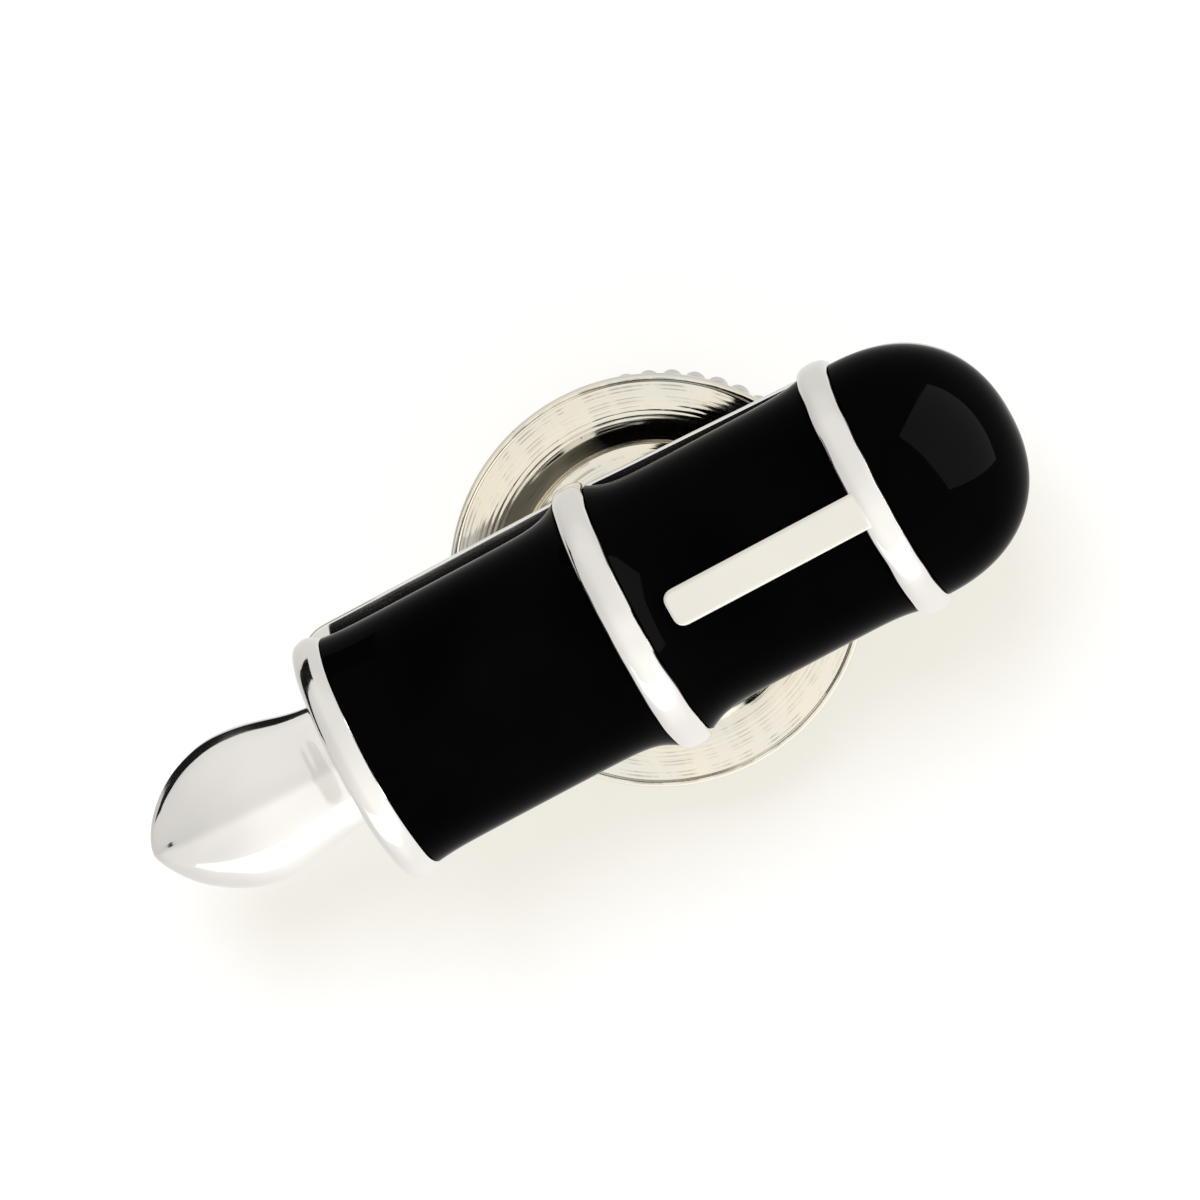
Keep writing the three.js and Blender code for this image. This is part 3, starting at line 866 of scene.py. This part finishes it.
def make_knob():
    """A cup with a flat rear, a beaded grip, and a boss inside that holds the cage."""
    wall = KNOB.size.x / 2 - BEAD_R
    front = KNOB.high.z
    band_start, band_end = BEAD_BAND
    outer = [(0, 0), (1.1, 0, 0.05), (1.2, 0.05, 0.05), (1.35, 0.05, 0.05), (1.45, 0, 0.05),
             (3.3, 0, 0.35), (wall - 0.3, 0.34, 0.3), (wall - 0.04, band_start - 0.08, 0.06)]
    rows = 32
    grip = [(wall, band_start + (band_end - band_start) * i / rows, 0) for i in range(rows + 1)]
    inner = [(wall - 0.12, front, 0.08), (3.85, front, 0.1), (3.85, 0.45, 0.3), (1.6, 0.45, 0.1),
             (1.6, 0.95, 0.08), (CAGE_TUBE_R + 0.02, 0.95, 0.04), (CAGE_TUBE_R + 0.02, 0.45, 0), (0, 0.45)]
    outline = softened(outer + grip + inner, 0.05, steps=4, closed=False)
    bm = turned(outline, turns=BEAD_COUNT * 14, closed=False)
    raise_beads(bm, wall)
    material = turned_nickel("knob_nickel", tint=(0.46, 0.455, 0.44), lines=0.5, roughness=0.13)
    piece("pull_knob_beaded", bm, "knob", material, ["pull_knob"])


def raise_beads(bm, wall):
    """Pushes the knob's wall out into a ring of upright beads with round ends."""
    middle = sum(BEAD_BAND) / 2
    half = (BEAD_BAND[1] - BEAD_BAND[0]) / 2 - BEAD_R
    for vert in bm.verts:
        radius = math.hypot(vert.co.x, vert.co.y)
        if abs(radius - wall) > 0.001:
            continue
        turn = math.atan2(vert.co.y, vert.co.x) * BEAD_COUNT / TAU
        sideways = abs(turn - round(turn)) * TAU * wall / BEAD_COUNT
        up = max(abs(vert.co.z - middle) - half, 0)
        height = math.sqrt(max(BEAD_R ** 2 - sideways ** 2 - up ** 2, 0))
        vert.co.xy *= (wall + height) / wall


# ---------------------------------------------------------------- floor, light and camera

def make_floor():
    """A sheet just under the knob, which it follows, so that the tack stands on it at every pose."""
    bm = bmesh.new()
    bmesh.ops.create_grid(bm, x_segments=8, y_segments=8, size=0.5)
    floor = as_object("floor", bm, pale_floor())
    floor.location.z = -0.02 * MM
    floor.visible_glossy = False
    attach(floor, "knob")


def make_flag():
    """A curved black card beside the nib, seen only in reflections: it draws the nib's dark edge line."""
    radius, low, high = 9.0, PEN_Z - 2.3, PEN_Z + 1.7
    bm = bmesh.new()
    strip = []
    for x, y in arc((NIB_WIDEST + 0.5, 0), radius, 66, 160, 24):
        strip.append((bm.verts.new((x, y, low)), bm.verts.new((x, y, high))))
    for (a, b), (c, d) in zip(strip, strip[1:]):
        bm.faces.new((a, b, d, c))
    bmesh.ops.scale(bm, vec=(MM, MM, MM), verts=bm.verts)
    card = Surface("flag_card", Roughness=1.0, Specular_IOR_Level=0.0)
    card.colour((0.01, 0.01, 0.01, 1))
    flag = as_object("flag", bm, card.material)
    flag.visible_camera = False
    flag.visible_diffuse = False
    flag.visible_shadow = False


def softbox(name, azimuth, elevation, distance, width, height, glow, warmth=0.0, roll=0):
    """A rectangular light that faces the pen. glow is how bright it looks from there."""
    light = bpy.data.lights.new(name, "AREA")
    light.shape = "RECTANGLE"
    light.size, light.size_y = width, height
    light.energy = glow * math.pi * width * height
    light.color = (1.0, 1.0 - 0.5 * warmth, 1.0 - warmth)
    lamp = bpy.data.objects.new(name, light)
    away = direction(azimuth, elevation)
    lamp.location = Vector((0, 0, PEN_Z * MM)) + away * distance
    facing = away.to_track_quat("Z", "Y").to_matrix().to_4x4()
    lamp.rotation_euler = (facing @ Matrix.Rotation(math.radians(roll), 4, "Z")).to_euler()
    bpy.context.scene.collection.objects.link(lamp)
    return lamp


def make_tent():
    """Soft warm light from all round, brightest from -Y, dimmer past the nib and from below."""
    world = bpy.data.worlds.new("studio")
    world.use_nodes = True
    bpy.context.scene.world = world
    tree = world.node_tree
    place = tree.nodes.new("ShaderNodeTexCoord").outputs["Generated"]

    def towards(azimuth, start, end, low, high, elevation=0):
        """A number that goes from low to high as the view direction turns towards the one named."""
        dot = tree.nodes.new("ShaderNodeVectorMath")
        dot.operation = "DOT_PRODUCT"
        tree.links.new(place, dot.inputs[0])
        dot.inputs[1].default_value = direction(azimuth, elevation)
        ramp = tree.nodes.new("ShaderNodeMapRange")
        ramp.interpolation_type = "SMOOTHSTEP"
        tree.links.new(dot.outputs["Value"], ramp.inputs["Value"])
        for socket, number in zip(("From Min", "From Max", "To Min", "To Max"), (start, end, low, high)):
            ramp.inputs[socket].default_value = number
        return ramp.outputs[0]

    def product(first, second):
        new = tree.nodes.new("ShaderNodeMath")
        new.operation = "MULTIPLY"
        tree.links.new(first, new.inputs[0])
        tree.links.new(second, new.inputs[1])
        return new.outputs[0]

    past_nib = towards(180, 0.0, 0.95, 0.95, 0.76)
    across = towards(90, -0.7, 0.7, 1.16, 0.88)
    upwards = towards(0, -0.4, 0.3, 0.88, 1.0, elevation=90)
    background = tree.nodes["Background"]
    background.inputs["Color"].default_value = (1.0, 0.978, 0.945, 1)
    tree.links.new(product(product(past_nib, across), upwards), background.inputs["Strength"])


def make_light():
    """A tent, a front panel, a key light for the enamel's gloss, and a lamp for the floor's shadow."""
    make_tent()
    softbox("front", -90, 26, distance=0.45, width=1.3, height=0.28, glow=0.3, warmth=0.05)
    key = softbox("key", 11, 25, distance=0.16, width=0.24, height=0.22, glow=12.0, roll=3)
    key.light_linking.receiver_collection = GLOSSY_BLACK
    lamp = softbox("lamp", 74, 68, distance=0.35, width=0.11, height=0.11, glow=29.0)
    lamp.visible_glossy = False


def make_camera():
    """Looks down on the pen's face, a little from its cap end and from above it in the picture."""
    back = Vector((
        math.sin(CAMERA_TOWARDS_CAP) * math.cos(CAMERA_RAISED),
        math.sin(CAMERA_RAISED),
        math.cos(CAMERA_TOWARDS_CAP) * math.cos(CAMERA_RAISED),
    ))
    level = Vector((0, 1, 0)).cross(back).normalized()
    upright = back.cross(level)
    right = level * math.cos(CAMERA_ROLL) - upright * math.sin(CAMERA_ROLL)
    up = back.cross(right)
    data = bpy.data.cameras.new("camera")
    data.sensor_width = 36
    data.lens = 36 * CAMERA_DISTANCE / (FRAME_WIDTH * MM)
    data.clip_start = 0.01
    camera = bpy.data.objects.new("camera", data)
    target = Vector((AIM[0], 0, PEN_Z)) * MM + upright * AIM[1] * MM
    axes = Matrix((right, up, back)).transposed().to_4x4()
    camera.matrix_world = Matrix.Translation(target + back * CAMERA_DISTANCE) @ axes
    bpy.context.scene.collection.objects.link(camera)
    bpy.context.scene.camera = camera


make_camera()
make_floor()
make_flag()
make_light()
make_pen()
make_post()
make_disc()
make_housing()
make_spring()
make_cage_and_balls()
make_knob()
bpy.context.scene.view_settings.view_transform = "Standard"
